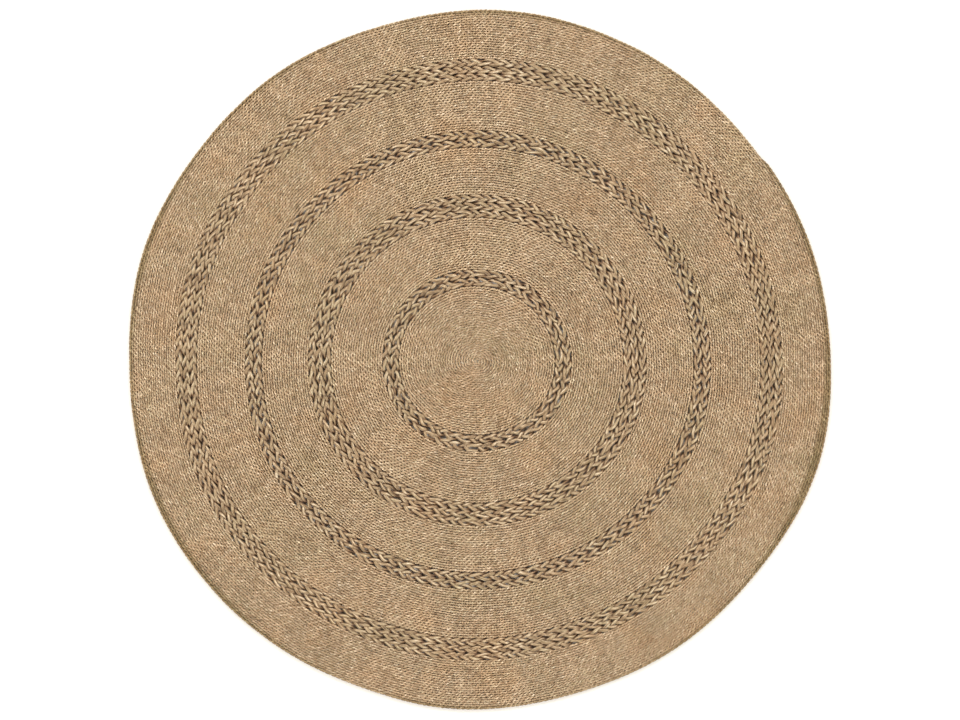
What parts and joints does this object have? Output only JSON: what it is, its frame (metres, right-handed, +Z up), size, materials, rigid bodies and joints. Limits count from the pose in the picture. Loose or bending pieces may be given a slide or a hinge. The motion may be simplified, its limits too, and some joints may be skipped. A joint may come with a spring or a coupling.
{
  "type": "area rug",
  "caption": "Round rug of twisted seagrass cord: close-wound flat coils joined by rings of open three-strand plaiting, laced edge to edge.",
  "frame": {"origin": "on the floor, under the middle of the rug's outline", "axes": "+Z up from the floor through the rug; X and Y lie in the floor, with the outline's slightly longer diameter close to X"},
  "size_m": [1.5034, 1.4973, 0.0086],
  "materials": {
    "seagrass_cord": "dry twisted grass cord, close wound, matt with a faint waxy sheen",
    "seagrass_plait": "the same cord in a loose three-strand plait",
    "lacing_twine": "thin matt twine"
  },
  "bodies": {
    "root": {"centre_coil": "seagrass_cord", "second_coil": "seagrass_cord", "third_coil": "seagrass_cord", "fourth_coil": "seagrass_cord", "border_coil": "seagrass_cord", "openwork_1_plait_1": "seagrass_plait", "openwork_1_plait_2": "seagrass_plait", "openwork_2_plait_1": "seagrass_plait", "openwork_2_plait_2": "seagrass_plait", "openwork_2_plait_3": "seagrass_plait", "openwork_3_plait_1": "seagrass_plait", "openwork_3_plait_2": "seagrass_plait", "openwork_4_plait_1": "seagrass_plait", "openwork_4_plait_2": "seagrass_plait", "openwork_4_plait_3": "seagrass_plait", "lacing_01": "lacing_twine", "lacing_02": "lacing_twine", "lacing_03": "lacing_twine", "lacing_04": "lacing_twine", "lacing_05": "lacing_twine", "lacing_06": "lacing_twine", "lacing_07": "lacing_twine", "lacing_08": "lacing_twine", "lacing_09": "lacing_twine", "lacing_10": "lacing_twine", "lacing_11": "lacing_twine", "lacing_12": "lacing_twine", "lacing_13": "lacing_twine", "lacing_14": "lacing_twine"}
  },
  "joints": []
}
